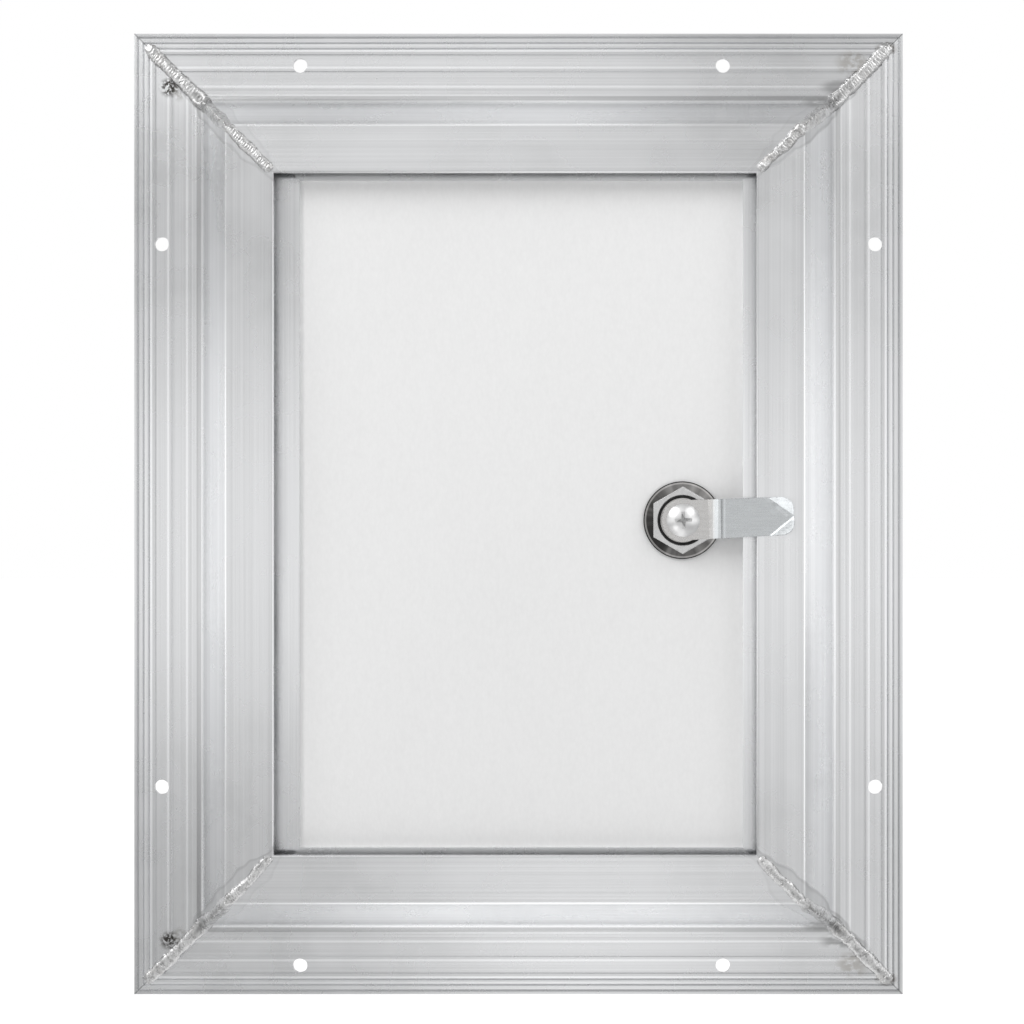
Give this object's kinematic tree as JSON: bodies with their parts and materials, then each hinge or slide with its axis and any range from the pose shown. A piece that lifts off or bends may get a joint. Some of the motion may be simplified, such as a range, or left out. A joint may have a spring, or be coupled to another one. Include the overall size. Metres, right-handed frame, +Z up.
{
  "type": "baggage door",
  "caption": "Rectangular baggage door with a welded aluminium wall frame, a hinged sandwich leaf in edge rails and a key lock with a cam.",
  "frame": {"origin": "middle of the frame's lower edge, on the plane of the bearing ribs on the flange's inside face", "axes": "+X to the right seen from inside the caravan, +Y outwards, +Z up"},
  "size_m": [0.3048, 0.0367, 0.381],
  "materials": {
    "mill_aluminium": "extruded, with fine lines along each member",
    "rail_aluminium": "extruded, satin",
    "weld_metal": "as welded, with pale etched edges and some soot",
    "seal_rubber": "matt",
    "hinge_steel": "brushed",
    "inner_panel": "fine pebbled grain",
    "outer_panel": "smooth",
    "panel_core": "plain plywood",
    "lock_nickel": "nickel plated",
    "washer_steel": "turned",
    "zinc_steel": "zinc plated",
    "cam_steel": "zinc plated, stamped"
  },
  "bodies": {
    "frame": {"frame_top": "mill_aluminium", "frame_bottom": "mill_aluminium", "frame_left": "mill_aluminium", "frame_right": "mill_aluminium", "weld_top_left": "weld_metal", "weld_top_right": "weld_metal", "weld_bottom_left": "weld_metal", "weld_bottom_right": "weld_metal", "seal_top": "seal_rubber", "seal_bottom": "seal_rubber", "seal_left": "seal_rubber", "seal_right": "seal_rubber", "hinge_plate_frame": "hinge_steel", "hinge_pin": "hinge_steel"},
    "leaf": {"leaf_rail_top": "rail_aluminium", "leaf_rail_bottom": "rail_aluminium", "leaf_stile_hinge": "rail_aluminium", "leaf_stile_lock": "rail_aluminium", "inner_skin": "inner_panel", "core": "panel_core", "outer_skin": "outer_panel", "hinge_plate_leaf": "hinge_steel", "lock_barrel": "lock_nickel", "lock_washer": "washer_steel", "lock_nut": "zinc_steel"},
    "latch": {"lock_plug": "lock_nickel", "cam": "cam_steel", "cam_screw": "zinc_steel"}
  },
  "joints": [
    {"name": "leaf_hinge", "type": "hinge", "parent": "frame", "child": "leaf", "pos_m": [-0.10965, 0.0059, 0.1905], "axis": [0, 0, 1], "range_deg": [0, 170]},
    {"name": "cam_turn", "type": "hinge", "parent": "leaf", "child": "latch", "pos_m": [0.0642, -0.0222, 0.1881], "axis": [0, -1, 0], "range_deg": [0, 90]}
  ]
}
